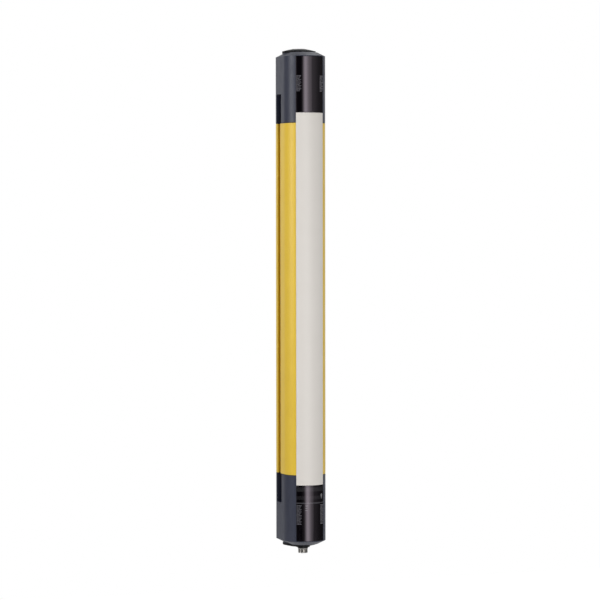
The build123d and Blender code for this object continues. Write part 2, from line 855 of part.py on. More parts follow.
save("housing_profile", housing_profile())
save("front_cover", front_cover())
save("upper_end_cap", at_upper(upper_end_cap()))
save("lower_end_cap", at_lower(lower_end_cap()))
save("upper_pivot_disc", at_upper(upper_pivot_disc()))
save("lower_pivot_disc", at_lower(lower_pivot_disc()))
save("pivot_screw", at_upper(pivot_screw()))
save("top_plug", at_upper(top_plug()))
save("connector_shell", at_lower(connector_shell()))
save("connector_seal", at_lower(connector_seal()))
save("connector_insert", at_lower(connector_insert()))
save("connector_pins", *[at_lower(pin) for pin in connector_pins()])
save("connector_nut", at_lower(connector_nut()))
save("carrier_plate", carrier_plate())
save("lower_optics_holder", at_lower(lower_optics_holder()))
save("upper_optics_holder", at_upper(optics_holder()))
for end, place in (("lower", at_lower), ("upper", at_upper)):
    save(f"{end}_window", place(window()))
    save(f"{end}_window_seal", place(window_seal()))
    save(f"{end}_cap_gasket", place(cap_gasket()))
    save(f"{end}_cap_screws", *[place(screw) for screw in cap_screws()])
    save(f"{end}_lens", place(lens()))
    save(f"{end}_diode_board", place(diode_board()))
    save(f"{end}_diode", place(diode()))
    save(f"{end}_optics_screws", *[place(screw) for screw in optics_screws()])
save("control_board", at_lower(control_board()))
save("board_components", *[at_lower(part) for part in board_components()])
save("board_spacers", *[at_lower(part) for part in board_spacers()])
save("board_screws", *[at_lower(part) for part in board_screws()])
upper_edge = housing_length - control_board_end
save("lower_ribbon_cable", at_lower(ribbon_cable(control_board_start)))
save("upper_ribbon_cable", at_upper(ribbon_cable(upper_edge)))
save("lower_ribbon_plugs", *[at_lower(part) for part in ribbon_plugs(control_board_start)])
save("upper_ribbon_plugs", *[at_upper(part) for part in ribbon_plugs(upper_edge)])
save("connector_leads", at_lower(connector_leads()))
save("lead_plug", at_lower(lead_plug()))
save("indicator_board", at_lower(indicator_board()))
save("indicator_light_guide", at_lower(indicator_light_guide()))
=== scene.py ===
"""Looks for the multi-beam safety light barrier: a yellow column with a glossy black window at each end."""
import logging
import math
from collections.abc import Sequence
from dataclasses import dataclass, field, replace
from enum import Enum

import bmesh
import bpy
from mathutils import Matrix, Vector


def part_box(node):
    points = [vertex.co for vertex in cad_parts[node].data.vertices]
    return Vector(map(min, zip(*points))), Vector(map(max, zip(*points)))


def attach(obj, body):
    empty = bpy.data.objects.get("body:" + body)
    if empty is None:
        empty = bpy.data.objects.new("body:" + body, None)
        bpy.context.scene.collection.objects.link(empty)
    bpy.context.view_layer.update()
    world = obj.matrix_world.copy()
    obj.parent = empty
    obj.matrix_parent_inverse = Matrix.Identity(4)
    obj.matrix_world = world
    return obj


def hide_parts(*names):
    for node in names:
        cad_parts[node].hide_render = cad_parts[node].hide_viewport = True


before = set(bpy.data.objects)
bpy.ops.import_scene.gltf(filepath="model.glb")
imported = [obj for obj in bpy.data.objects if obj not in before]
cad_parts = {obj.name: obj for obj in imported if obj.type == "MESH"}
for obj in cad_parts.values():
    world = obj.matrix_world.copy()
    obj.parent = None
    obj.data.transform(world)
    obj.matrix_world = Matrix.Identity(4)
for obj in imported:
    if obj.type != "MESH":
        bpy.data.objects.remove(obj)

MM = 0.001
BODY = "root"
ENDS = ("upper", "lower")
PANE_INSET_MM = 0.05
STATUS_GROOVES_MM = ((45.9, 0.5, 0.04), (64.6, 0.5, 0.04))
LOG = logging.getLogger("light_barrier")

Span = tuple[float, float]
Stops = tuple[Span, ...]
Colour = tuple[float, float, float]
Faces = list[tuple[int, ...]]
Socket = bpy.types.NodeSocket


class Grain(Enum):
    """What the surface of a finish is like close up."""

    POWDER = "powder"
    MOULDED = "moulded"
    GLOSS = "gloss"
    BRUSHED = "brushed"
    RUBBER = "rubber"
    BOARD = "board"
    RIBBON = "ribbon"
    CLEAR = "clear"


@dataclass(frozen=True)
class Finish:
    """One finish: its colour, its shine and the grain that breaks them up.

    Args:
        name: the material's name.
        colour: base colour, linear.
        accent: second colour that the grain mixes in.
        roughness: mean roughness.
        grain: kind of grain.
        grain_mm: size of one grain.
        relief_mm: height of the grain.
        metallic: 1 for bare metal.
        specular: specular level at the shader.
        tint: colour of the shine seen face on.
        wear: colour that shows where edges are rubbed.
        wear_share: how far the rubbed colour covers an edge.
        wear_mm: width of a rubbed edge.
    """

    name: str
    colour: Colour
    accent: Colour
    roughness: float
    grain: Grain
    grain_mm: float = 1.0
    relief_mm: float = 0.01
    metallic: float = 0.0
    specular: float = 0.5
    tint: Colour = (1.0, 1.0, 1.0)
    wear: Colour = (0.5, 0.5, 0.5)
    wear_share: float = 0.0
    wear_mm: float = 0.4


YELLOW_COAT = Finish(
    "yellow_coat", (0.70, 0.475, 0.034), (0.64, 0.42, 0.026), 0.36, Grain.POWDER, 1.1, 0.022,
    specular=0.45, wear=(0.80, 0.62, 0.22), wear_share=0.35, wear_mm=0.5)
COVER_GREY = Finish(
    "cover_grey", (0.66, 0.627, 0.587), (0.635, 0.602, 0.563), 0.44, Grain.MOULDED, 0.6, 0.006,
    wear=(0.80, 0.78, 0.75), wear_share=0.3)
CAP_ANTHRACITE = Finish(
    "cap_anthracite", (0.022, 0.026, 0.048), (0.018, 0.0215, 0.040), 0.40, Grain.MOULDED, 0.45, 0.012,
    wear=(0.10, 0.105, 0.12), wear_share=0.4)
DISC_BLACK = Finish(
    "disc_black", (0.005, 0.005, 0.006), (0.008, 0.008, 0.009), 0.5, Grain.MOULDED, 0.5, 0.008,
    specular=0.14, wear=(0.016, 0.016, 0.017), wear_share=0.35)
WINDOW_BLACK = Finish(
    "window_black", (0.0006, 0.0004, 0.0010), (0.001, 0.0007, 0.0015), 0.09, Grain.GLOSS, 14.0, 0.003,
    specular=0.73, tint=(1.0, 0.87, 0.985), wear=(0.02, 0.02, 0.022), wear_share=0.2)
NICKEL = Finish(
    "nickel", (0.58, 0.565, 0.545), (0.48, 0.465, 0.445), 0.24, Grain.BRUSHED, 0.5, 0.003, 1.0,
    wear=(0.70, 0.66, 0.60), wear_share=0.4, wear_mm=0.15)
SEAL_BLACK = Finish("seal_black", (0.012,) * 3, (0.02,) * 3, 0.7, Grain.RUBBER, 0.5, 0.01)
SCREW_STEEL = Finish(
    "screw_steel", (0.55, 0.55, 0.56), (0.46, 0.46, 0.47), 0.3, Grain.BRUSHED, 0.4, 0.004, 1.0)
PLUG_GREY = Finish("plug_grey", (0.58, 0.59, 0.61), (0.53, 0.54, 0.56), 0.4, Grain.MOULDED, 0.5, 0.006)
INSERT_BLACK = Finish("insert_black", (0.014,) * 3, (0.02,) * 3, 0.5, Grain.MOULDED, 0.4, 0.006)
CONTACT_GOLD = Finish(
    "contact_gold", (0.83, 0.60, 0.24), (0.75, 0.52, 0.2), 0.22, Grain.BRUSHED, 0.3, 0.002, 1.0)
CARRIER_SHEET = Finish(
    "carrier_sheet", (0.62, 0.63, 0.64), (0.54, 0.55, 0.56), 0.34, Grain.BRUSHED, 0.7, 0.004, 1.0)
OPTICS_BLACK = Finish("optics_black", (0.01,) * 3, (0.016,) * 3, 0.6, Grain.MOULDED, 0.6, 0.01)
LENS_CLEAR = Finish("lens_clear", (0.96, 0.97, 0.98), (0.92, 0.94, 0.95), 0.04, Grain.CLEAR, 6.0, 0.002)
BOARD_GREEN = Finish("board_green", (0.012, 0.11, 0.035), (0.05, 0.22, 0.09), 0.32, Grain.BOARD, 1.6, 0.01)
DIODE_CLEAR = Finish("diode_clear", (0.30, 0.30, 0.42), (0.22, 0.22, 0.33), 0.12, Grain.GLOSS, 2.0, 0.003)
COMPONENT_DARK = Finish("component_dark", (0.03, 0.03, 0.032), (0.045,) * 3, 0.45, Grain.MOULDED, 0.5, 0.008)
SPACER_WHITE = Finish("spacer_white", (0.70, 0.70, 0.66), (0.64, 0.64, 0.6), 0.5, Grain.MOULDED, 0.5, 0.006)
CABLE_GREY = Finish("cable_grey", (0.36, 0.36, 0.37), (0.22, 0.22, 0.23), 0.5, Grain.RIBBON, 1.27, 0.05)
CABLE_PLUG = Finish("cable_plug", (0.02,) * 3, (0.03,) * 3, 0.5, Grain.MOULDED, 0.5, 0.006)


def ink(name: str, colour: Colour, accent: Colour) -> Finish:
    """Gives the finish of a print or a painted reflection on the windows, under a gloss like theirs."""
    return replace(WINDOW_BLACK, name=name, colour=colour, accent=accent, roughness=0.10, wear_share=0.0)


INK_GREY = ink("ink_grey", (0.105, 0.102, 0.116), (0.09, 0.087, 0.10))
INK_SIDE = ink("ink_side", (0.16, 0.156, 0.17), (0.14, 0.136, 0.15))
INK_PALE = ink("ink_pale", (0.18, 0.18, 0.185), (0.155, 0.155, 0.16))
# painted reflections of the light field's edges on the lower window, given the window's gloss
PAINTED_EDGE_SHEEN = ink("painted_edge_sheen", (0.048, 0.047, 0.053), (0.042, 0.041, 0.046))
PAINTED_FIELD_SHEEN = ink("painted_field_sheen", (0.017, 0.017, 0.018), (0.013, 0.013, 0.014))
INK_DEEP = ink("ink_deep", (0.0115, 0.011, 0.0125), (0.009, 0.0085, 0.010))


class Nodes:
    """A node tree, with the ways of adding to it that finishes, lamps, floor and world share."""

    WHITE = (1.0, 1.0, 1.0, 1.0)

    def __init__(self, tree: bpy.types.NodeTree) -> None:
        """Takes the tree to add to."""
        self.tree = tree

    def node(self, kind: str, **settings: object) -> bpy.types.Node:
        """Adds a node.

        Args:
            kind: Blender's node type.
            settings: properties, or inputs by their name with spaces as underscores.

        Returns:
            The node.
        """
        made = self.tree.nodes.new(kind)
        for key, value in settings.items():
            name = key.replace("_", " ")
            if name in made.inputs:
                made.inputs[name].default_value = value
            else:
                setattr(made, key, value)
        return made

    def give(self, target: Socket, value: Socket | float | Sequence[float]) -> None:
        """Links or sets one input.

        Args:
            target: the input.
            value: a socket, a number or a colour.
        """
        if isinstance(value, Socket):
            self.tree.links.new(value, target)
        else:
            target.default_value = value

    def feed(self, node: bpy.types.Node, *values: Socket | float | Sequence[float]) -> Socket:
        """Gives a node its first inputs.

        Args:
            node: the node.
            values: what its inputs get, in order.

        Returns:
            Its first output.
        """
        for target, value in zip(node.inputs, values):
            self.give(target, value)
        return node.outputs[0]

    def maths(self, operation: str, *values: Socket | float) -> Socket:
        """Adds a function of sockets and numbers, by its name."""
        return self.feed(self.node("ShaderNodeMath", operation=operation), *values)

    def limits(self, source: Socket, *ends: float) -> Socket:
        """Maps a value from its first two ends to the last two, and clamps it there."""
        return self.feed(self.node("ShaderNodeMapRange"), source, *ends)

    def greys(self, share: Socket, stops: Sequence[Span]) -> Socket:
        """Turns a share into a grey.

        Args:
            share: a value from 0 to 1.
            stops: place and grey of each stop, in order.

        Returns:
            The grey.
        """
        ramp = self.node("ShaderNodeValToRGB")
        elements = ramp.color_ramp.elements
        while len(elements) < len(stops):
            elements.new(1.0)
        for element, (at, grey) in zip(elements, stops):
            element.position = at
            element.color = (grey, grey, grey, 1.0)
        return self.feed(ramp, share)

    def either(self, share: Socket, first: Socket, second: Socket) -> Socket:
        """Mixes two shaders by the share of the second."""
        return self.feed(self.node("ShaderNodeMixShader"), share, first, second)

    def background(self, colour: Socket | Sequence[float] = WHITE) -> Socket:
        """Adds a background of the world, white without a colour."""
        return self.feed(self.node("ShaderNodeBackground"), colour)

    def rays(self) -> tuple[Socket, Socket]:
        """Tells the kinds of rays apart.

        Returns:
            1 for what the camera sees, through clear pieces too, and 1 for what is mirrored.
        """
        kinds = self.node("ShaderNodeLightPath").outputs
        seen = self.maths("MAXIMUM", kinds["Is Camera Ray"], kinds["Is Transmission Ray"])
        return seen, kinds["Is Glossy Ray"]


class FinishMaker(Nodes):
    """Builds the node tree of one finish."""

    PATTERN_SHARE = 0.6  # of the accent colour, from the grain
    CLOUD_SHARE = 0.35  # of the accent colour, from broad clouds
    CLOUD_MM = 18.0
    CLOUD_GRAINS = 12
    SMEAR_MM = 6.0
    SMEAR_GRAINS = 5
    ROUGHNESS_SWING = 0.12
    BUMP_STRENGTH = 0.6
    RUB_MM = 2.5
    RUB_TURN = (0.998, 0.93)  # cosine between true and rounded normal where wear starts and is full
    RUB_PATCHES = (0.2, 1.0)
    MIX_COLOURS = (6, 7)  # inputs of the mix node that take colours
    MIX_RESULT = 2  # its output of colour
    UPRIGHT = (1.0, 1.0, 0.4)  # stretch of marks that run up the column
    BRUSH_MARKS = (1.0, 1.0, 0.06)
    EVEN = (1.0, 1.0, 1.0)

    made: dict[str, bpy.types.Material] = {}

    def __init__(self, finish: Finish) -> None:
        """Starts a new material.

        Args:
            finish: the finish to build.
        """
        self.finish = finish
        self.material = bpy.data.materials.new(finish.name)
        self.material.use_nodes = True
        super().__init__(self.material.node_tree)

    @classmethod
    def get(cls, finish: Finish) -> bpy.types.Material:
        """Gives the finish's material, built once.

        Args:
            finish: the finish wanted.

        Returns:
            Its material.
        """
        if finish.name not in cls.made:
            cls.made[finish.name] = cls(finish).build()
        return cls.made[finish.name]

    def coordinates(self, stretch: Sequence[float] = EVEN) -> Socket:
        """Gives the object's own coordinates, scaled on each axis."""
        place = self.node("ShaderNodeTexCoord")
        return self.feed(self.node("ShaderNodeMapping", Scale=stretch), place.outputs["Object"])

    def noise(self, size_mm: float, detail: float = 3.0, stretch: Sequence[float] = EVEN) -> Socket:
        """Adds a noise by its grain size, its octaves and its stretch on each axis."""
        made = self.node("ShaderNodeTexNoise", Scale=1.0 / (size_mm * MM), Detail=detail, Roughness=0.55)
        return self.feed(made, self.coordinates(stretch))

    def pattern(self) -> Socket:
        """Adds the pattern that the grain's kind asks for.

        Returns:
            Its value, from 0 to 1.
        """
        grain, frequency = self.finish.grain, 1.0 / (self.finish.grain_mm * MM)
        if grain is Grain.BRUSHED:
            return self.noise(self.finish.grain_mm, detail=2.0, stretch=self.BRUSH_MARKS)
        if grain is Grain.BOARD:
            cells = self.node("ShaderNodeTexVoronoi", Scale=frequency, distance="MANHATTAN", feature="F2")
            return self.feed(cells, self.coordinates(self.UPRIGHT))
        if grain is Grain.RIBBON:
            wave = self.node("ShaderNodeTexWave", Scale=0.5 * frequency, wave_type="BANDS",
                             bands_direction="X")
            self.feed(wave, self.coordinates())
            return wave.outputs["Fac"]
        return self.noise(self.finish.grain_mm)

    def spread(self, noise: Socket, low: float, high: float) -> Socket:
        """Maps the middle of a noise's range, from 0.3 to 0.7, to new limits."""
        return self.limits(noise, 0.3, 0.7, low, high)

    def blend(self, share: Socket, first: Colour | Socket, second: Colour | Socket) -> Socket:
        """Mixes two colours.

        Args:
            share: share of the second one.
            first: a colour or a colour socket.
            second: a colour or a colour socket.

        Returns:
            The mixed colour.
        """
        mix = self.node("ShaderNodeMix", data_type="RGBA")
        self.feed(mix, share)
        for place, value in zip(self.MIX_COLOURS, (first, second)):
            self.give(mix.inputs[place], value if isinstance(value, Socket) else (*value, 1.0))
        return mix.outputs[self.MIX_RESULT]

    def rubbed(self) -> Socket:
        """Finds edges, broken up by a noise.

        Returns:
            The share of wear, from 0 to the finish's own share.
        """
        rounded = self.node("ShaderNodeBevel", samples=4, Radius=self.finish.wear_mm * MM)
        flat = self.node("ShaderNodeNewGeometry")
        turn = self.node("ShaderNodeVectorMath", operation="DOT_PRODUCT")
        self.feed(turn, rounded.outputs["Normal"], flat.outputs["Normal"])
        edge = self.limits(turn.outputs["Value"], *self.RUB_TURN, 0.0, self.finish.wear_share)
        patches = self.spread(self.noise(self.RUB_MM, detail=4.0), *self.RUB_PATCHES)
        return self.maths("MULTIPLY", edge, patches)

    def build(self) -> bpy.types.Material:
        """Builds the whole material.

        Returns:
            The material.
        """
        finish = self.finish
        pattern = self.pattern()
        clouds = self.noise(max(self.CLOUD_MM, self.CLOUD_GRAINS * finish.grain_mm), detail=2.0)
        clouded = self.spread(clouds, 0.0, self.CLOUD_SHARE)
        share = self.maths("MULTIPLY_ADD", self.spread(pattern, 0.0, 1.0), self.PATTERN_SHARE, clouded)
        colour = self.blend(share, finish.colour, finish.accent)
        if finish.wear_share:
            colour = self.blend(self.rubbed(), colour, finish.wear)
        swing = self.ROUGHNESS_SWING * finish.roughness
        smear_mm = max(self.SMEAR_MM, self.SMEAR_GRAINS * finish.grain_mm)
        smears = self.noise(smear_mm, detail=4.0, stretch=self.UPRIGHT)
        bump = self.node("ShaderNodeBump", Strength=self.BUMP_STRENGTH, Distance=finish.relief_mm * MM)
        self.give(bump.inputs["Height"], pattern)
        shader = self.tree.nodes["Principled BSDF"]
        for name, value in (
            ("Base Color", colour),
            ("Roughness", self.spread(smears, finish.roughness - swing, finish.roughness + swing)),
            ("Normal", bump.outputs["Normal"]),
            ("Metallic", finish.metallic),
            ("Specular IOR Level", finish.specular),
            ("Specular Tint", (*finish.tint, 1.0)),
            ("Transmission Weight", 1.0 if finish.grain is Grain.CLEAR else 0.0),
        ):
            self.give(shader.inputs[name], value)
        return self.material


@dataclass(frozen=True)
class FrontArc:
    """The front arc that windows and cover share, read from the frame.

    Args:
        radius: outer radius of the housing's front.
        axis_y: depth of the arc's axis.
    """

    radius: float
    axis_y: float

    @classmethod
    def from_frame(cls) -> "FrontArc":
        """Reads the arc from the upper end cap.

        Returns:
            The arc.
        """
        low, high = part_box("upper_end_cap")
        radius = (high.x - low.x) / 2
        return cls(radius, low.y + radius)

    def sunk(self, depth_mm: float) -> "FrontArc":
        """Gives the arc a little further in."""
        return FrontArc(self.radius - depth_mm * MM, self.axis_y)

    def point(self, radius: float, angle: float, z: float) -> Vector:
        """Gives the point at a radius, an angle from the front (positive to the right) and a height."""
        turn = math.radians(angle)
        return Vector((radius * math.sin(turn), self.axis_y - radius * math.cos(turn), z))

    def half_angle(self, node: str) -> float:
        """Works out half of the angle that a curved node takes, in degrees, from its width."""
        low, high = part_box(node)
        return math.degrees(math.asin(min(1.0, (high.x - low.x) / 2 / self.radius)))


class MeshMaker:
    """Turns points into pieces."""

    PRINT_CRISP_ANGLE = 40.0

    @staticmethod
    def stack(name: str, rings: Sequence[Sequence[Vector]], capped: bool = True,
              crisp_angle: float = 180.0) -> bpy.types.Object:
        """Joins closed rings of equal length into a solid.

        Args:
            name: the piece's name.
            rings: rings in order.
            capped: whether the first and last ring are filled; otherwise the last joins the first.
            crisp_angle: least angle between faces that is shaded as an edge.

        Returns:
            The piece.
        """
        count = len(rings[0])
        points = [tuple(point) for ring in rings for point in ring]
        faces: Faces = []
        pairs = [(place, place + 1) for place in range(len(rings) - 1)]
        if not capped:
            pairs.append((len(rings) - 1, 0))
        for low, high in pairs:
            for step in range(count):
                following = (step + 1) % count
                faces.append((low * count + step, low * count + following,
                              high * count + following, high * count + step))
        if capped:
            faces.append(tuple(reversed(range(count))))
            faces.append(tuple(range((len(rings) - 1) * count, len(rings) * count)))
        return MeshMaker.piece(name, points, faces, crisp_angle)

    @staticmethod
    def piece(name: str, points: Sequence[Sequence[float]], faces: Sequence[Sequence[int]],
              crisp_angle: float = 180.0) -> bpy.types.Object:
        """Makes an object with outward faces.

        Args:
            name: the piece's name.
            points: its corners.
            faces: its faces.
            crisp_angle: least angle between faces that is shaded as an edge.

        Returns:
            The piece, linked to the scene.
        """
        mesh = bpy.data.meshes.new(name)
        mesh.from_pydata([tuple(p) for p in points], [], [tuple(f) for f in faces])
        work = bmesh.new()
        work.from_mesh(mesh)
        bmesh.ops.remove_doubles(work, verts=work.verts, dist=1e-7)
        loose = [corner for corner in work.verts if not corner.link_faces]
        bmesh.ops.delete(work, geom=loose, context="VERTS")
        bmesh.ops.recalc_face_normals(work, faces=work.faces)
        work.to_mesh(mesh)
        work.free()
        mesh.shade_smooth()
        mesh.set_sharp_from_angle(angle=math.radians(crisp_angle))
        made = bpy.data.objects.new(name, mesh)
        bpy.context.scene.collection.objects.link(made)
        return made

    @classmethod
    def strips(cls, name: str, arc: FrontArc, runs: Sequence[Sequence[tuple[float, float, float]]],
               proud_mm: float) -> bpy.types.Object:
        """Makes thin closed strips that follow the front arc, as one piece.

        Args:
            name: the piece's name.
            arc: the housing's front arc.
            runs: for each strip, the angle, lower and upper height of its columns, in order.
            proud_mm: how far it stands in and, half as far, out.

        Returns:
            The piece.
        """
        points: list[Vector] = []
        faces: Faces = []
        inner, outer = arc.radius - proud_mm * MM, arc.radius + proud_mm * MM / 2
        for columns in runs:
            start = len(points)
            for angle, low, high in columns:
                for radius in (inner, outer):
                    points.extend(arc.point(radius, angle, z) for z in (low, high))
            last = start + 4 * (len(columns) - 1)
            for a in range(start, last, 4):
                for i, j in ((0, 1), (1, 3), (3, 2), (2, 0)):
                    faces.append((a + i, a + j, a + 4 + j, a + 4 + i))
            faces.append((start, start + 2, start + 3, start + 1))
            faces.append((last, last + 1, last + 3, last + 2))
        return cls.piece(name, points, faces, cls.PRINT_CRISP_ANGLE)

    @staticmethod
    def soften(piece: bpy.types.Object, width_mm: float, segments: int = 2, angle: float = 30.0) -> None:
        """Rounds a piece's edges by modifiers.

        Args:
            piece: the piece.
            width_mm: width of the rounding.
            segments: faces across it.
            angle: least angle between faces that is rounded.
        """
        bevel = piece.modifiers.new("edge_rounding", "BEVEL")
        bevel.width = width_mm * MM
        bevel.segments = segments
        bevel.limit_method = "ANGLE"
        bevel.angle_limit = math.radians(angle)
        bevel.use_clamp_overlap = True
        normals = piece.modifiers.new("even_normals", "WEIGHTED_NORMAL")
        normals.keep_sharp = False
        normals.weight = 60


class Dresser:
    """Gives pieces and carried-over CAD nodes their finishes."""

    WELD_MM = 0.002
    FLAT_ANGLE = 0.6

    @staticmethod
    def own(piece: bpy.types.Object, finish: Finish, slot: str, *nodes: str) -> None:
        """Dresses a piece made here.

        Args:
            piece: the piece.
            finish: its finish.
            slot: the record's material slot; not used.
            nodes: the CAD nodes that it stands for.
        """
        piece.data.materials.clear()
        piece.data.materials.append(FinishMaker.get(finish))
        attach(piece, BODY)
        if nodes:
            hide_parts(*nodes)
        LOG.info("%s made, for %s", piece.name, ", ".join(nodes) or "the surface under it")

    @classmethod
    def carried(cls, name: str, finish: Finish, rounding_mm: float = 0.0, least_angle: float = 30.0) -> None:
        """Dresses a CAD node that stays.

        Args:
            name: the node.
            finish: its finish.
            rounding_mm: width of its rounded edges.
            least_angle: least angle between faces that is rounded.
        """
        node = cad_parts[name]
        if not node.material_slots:
            node.data.materials.append(None)
        for place in node.material_slots:
            place.material = FinishMaker.get(finish)
        if rounding_mm:
            weld = node.modifiers.new("joined_corners", "WELD")
            weld.merge_threshold = cls.WELD_MM * MM
            merge = node.modifiers.new("flat_faces", "DECIMATE")
            merge.decimate_type = "DISSOLVE"
            merge.angle_limit = math.radians(cls.FLAT_ANGLE)
            MeshMaker.soften(node, rounding_mm, angle=least_angle)
        LOG.info("%s carried over as %s", name, finish.name)


@dataclass
class Housing:
    """The extrusion and the two end caps, carried over with rounded edges.

    Args:
        profile_rounding_mm: rounding of the extrusion's edges.
        profile_angle: least angle that is rounded on the extrusion.
        cap_rounding_mm: rounding of the caps' edges.
        cap_angle: least angle that is rounded on the caps.
    """

    profile_rounding_mm: float = 0.3
    profile_angle: float = 20.0
    cap_rounding_mm: float = 0.35
    cap_angle: float = 16.0

    def build(self) -> None:
        """Dresses the extrusion, the caps and their gaskets."""
        Dresser.carried("housing_profile", YELLOW_COAT, self.profile_rounding_mm, self.profile_angle)
        for end in ENDS:
            Dresser.carried(f"{end}_end_cap", CAP_ANTHRACITE, self.cap_rounding_mm, self.cap_angle)
            Dresser.carried(f"{end}_cap_gasket", SEAL_BLACK)


@dataclass
class FrontStrip:
    """The light grey cover between the windows, with snap hooks along the extrusion.

    Args:
        arc: the housing's front arc.
        thickness_mm: thickness of the skin.
        hook_angle: where a hook's outer face lies, in degrees from the front.
        hook_mm: thickness of a hook.
        barb_angle: how much further round the barb reaches.
        barb_mm: inner and outer radius of the barb.
        hook_start_mm: from the end of the skin to the start of the hooks.
        rounding_mm: rounding of the edges.
        rounded_angle: least angle that is rounded.
        steps: segments along the arc.
    """

    arc: FrontArc
    thickness_mm: float = 2.4
    hook_angle: float = 32.4
    hook_mm: float = 1.2
    barb_angle: float = 2.4
    barb_mm: tuple[float, float] = (20.5, 21.4)
    hook_start_mm: float = 12.35
    rounding_mm: float = 0.35
    rounded_angle: float = 40.0
    steps: int = 72

    def section(self) -> list[tuple[float, float, bool]]:
        """Gives the strip's section, in order.

        Returns:
            Radius, angle and whether the corner belongs to a hook, for each corner.
        """
        half = self.arc.half_angle("front_cover")
        outer, inner = self.arc.radius, self.arc.radius - self.thickness_mm * MM
        start = self.hook_angle - math.degrees(self.hook_mm * MM / self.arc.radius)
        barb = self.hook_angle + self.barb_angle
        low, high = (radius * MM for radius in self.barb_mm)
        hook = [(high, self.hook_angle), (high, barb), (low, barb), (low, start)]
        corners = [(outer, -half + 2 * half * step / self.steps, False) for step in range(self.steps + 1)]
        corners += [(inner, half, False), (inner, self.hook_angle, False)]
        corners += [(radius, angle, True) for radius, angle in hook]
        count = self.steps // 2
        corners += [(inner, start * (1 - 2 * step / count), False) for step in range(count + 1)]
        corners += [(radius, -angle, True) for radius, angle in reversed(hook)]
        corners += [(inner, -self.hook_angle, False), (inner, -half, False)]
        return corners

    def build(self) -> None:
        """Builds the skin and its two hooks as one piece."""
        low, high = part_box("front_cover")
        reach = self.hook_start_mm * MM
        heights = (low.z, low.z + reach, high.z - reach, high.z)
        section = self.section()
        count = len(section)
        points = [self.arc.point(radius, angle, z) for z in heights for radius, angle, _ in section]
        skin = [place for place, corner in enumerate(section) if not corner[2]]
        faces: Faces = [tuple(reversed(skin)), tuple(3 * count + place for place in skin)]
        for level, used in ((0, skin), (1, list(range(count))), (2, skin)):
            base = level * count
            for first, second in zip(used, used[1:] + used[:1]):
                faces.append((base + first, base + second, base + count + second, base + count + first))
        for first in range(count):
            if section[first][2] and not section[first - 1][2]:
                hook = [first - 1 + step for step in range(6)]  # its four corners and the two beside them
                faces.append(tuple(count + place for place in hook))
                faces.append(tuple(2 * count + place for place in reversed(hook)))
        piece = MeshMaker.piece("front_cover_skin", points, faces)
        MeshMaker.soften(piece, self.rounding_mm, 3, self.rounded_angle)
        Dresser.own(piece, COVER_GREY, "cover_grey", "front_cover")


@dataclass
class Window:
    """One curved window, with shallow grooves beside its status lights.

    Args:
        arc: the housing's front arc.
        end: "upper" or "lower".
        thickness_mm: thickness of the window.
        grooves_mm: height above the window's lower edge, width and depth of each shallow groove.
        slope: run of a groove's flanks, as a multiple of its depth.
        least_floor: metres that part the two edges of a groove's floor.
        rounding_mm: rounding of its rim.
        rounded_angle: least angle that is rounded.
        steps: segments along the arc.
    """

    arc: FrontArc
    end: str
    thickness_mm: float = 3.0
    grooves_mm: tuple[tuple[float, float, float], ...] = ()
    slope: float = 1.3
    least_floor: float = 1e-6
    rounding_mm: float = 0.3
    rounded_angle: float = 60.0
    steps: int = 88

    def ring(self, z: float, sunk_mm: float = 0.0) -> list[Vector]:
        """Gives the window's section at one height.

        Args:
            z: the height.
            sunk_mm: how far the outer face lies behind the housing's front.

        Returns:
            The section's points.
        """
        half = self.arc.half_angle(f"{self.end}_window")
        outer = self.arc.radius - sunk_mm * MM
        inner = self.arc.radius - self.thickness_mm * MM
        angles = [-half + 2 * half * step / self.steps for step in range(self.steps + 1)]
        front = [self.arc.point(outer, angle, z) for angle in angles]
        back = [self.arc.point(inner, angle, z) for angle in reversed(angles)]
        return front + back

    def build(self) -> None:
        """Builds the window and dresses it."""
        low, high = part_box(f"{self.end}_window")
        heights = [(low.z, 0.0)]
        for middle, width, depth in sorted(self.grooves_mm):
            z = low.z + middle * MM
            half, run = width * MM / 2, min(width / 2, self.slope * depth) * MM
            floor = (z - half + run, z + half - run + self.least_floor)
            heights += [(z - half, 0.0), (floor[0], depth), (floor[1], depth), (z + half, 0.0)]
        heights.append((high.z, 0.0))
        piece = MeshMaker.stack(f"{self.end}_window_pane", [self.ring(z, sunk) for z, sunk in heights])
        MeshMaker.soften(piece, self.rounding_mm, 3, self.rounded_angle)
        Dresser.own(piece, WINDOW_BLACK, "window_black", f"{self.end}_window")


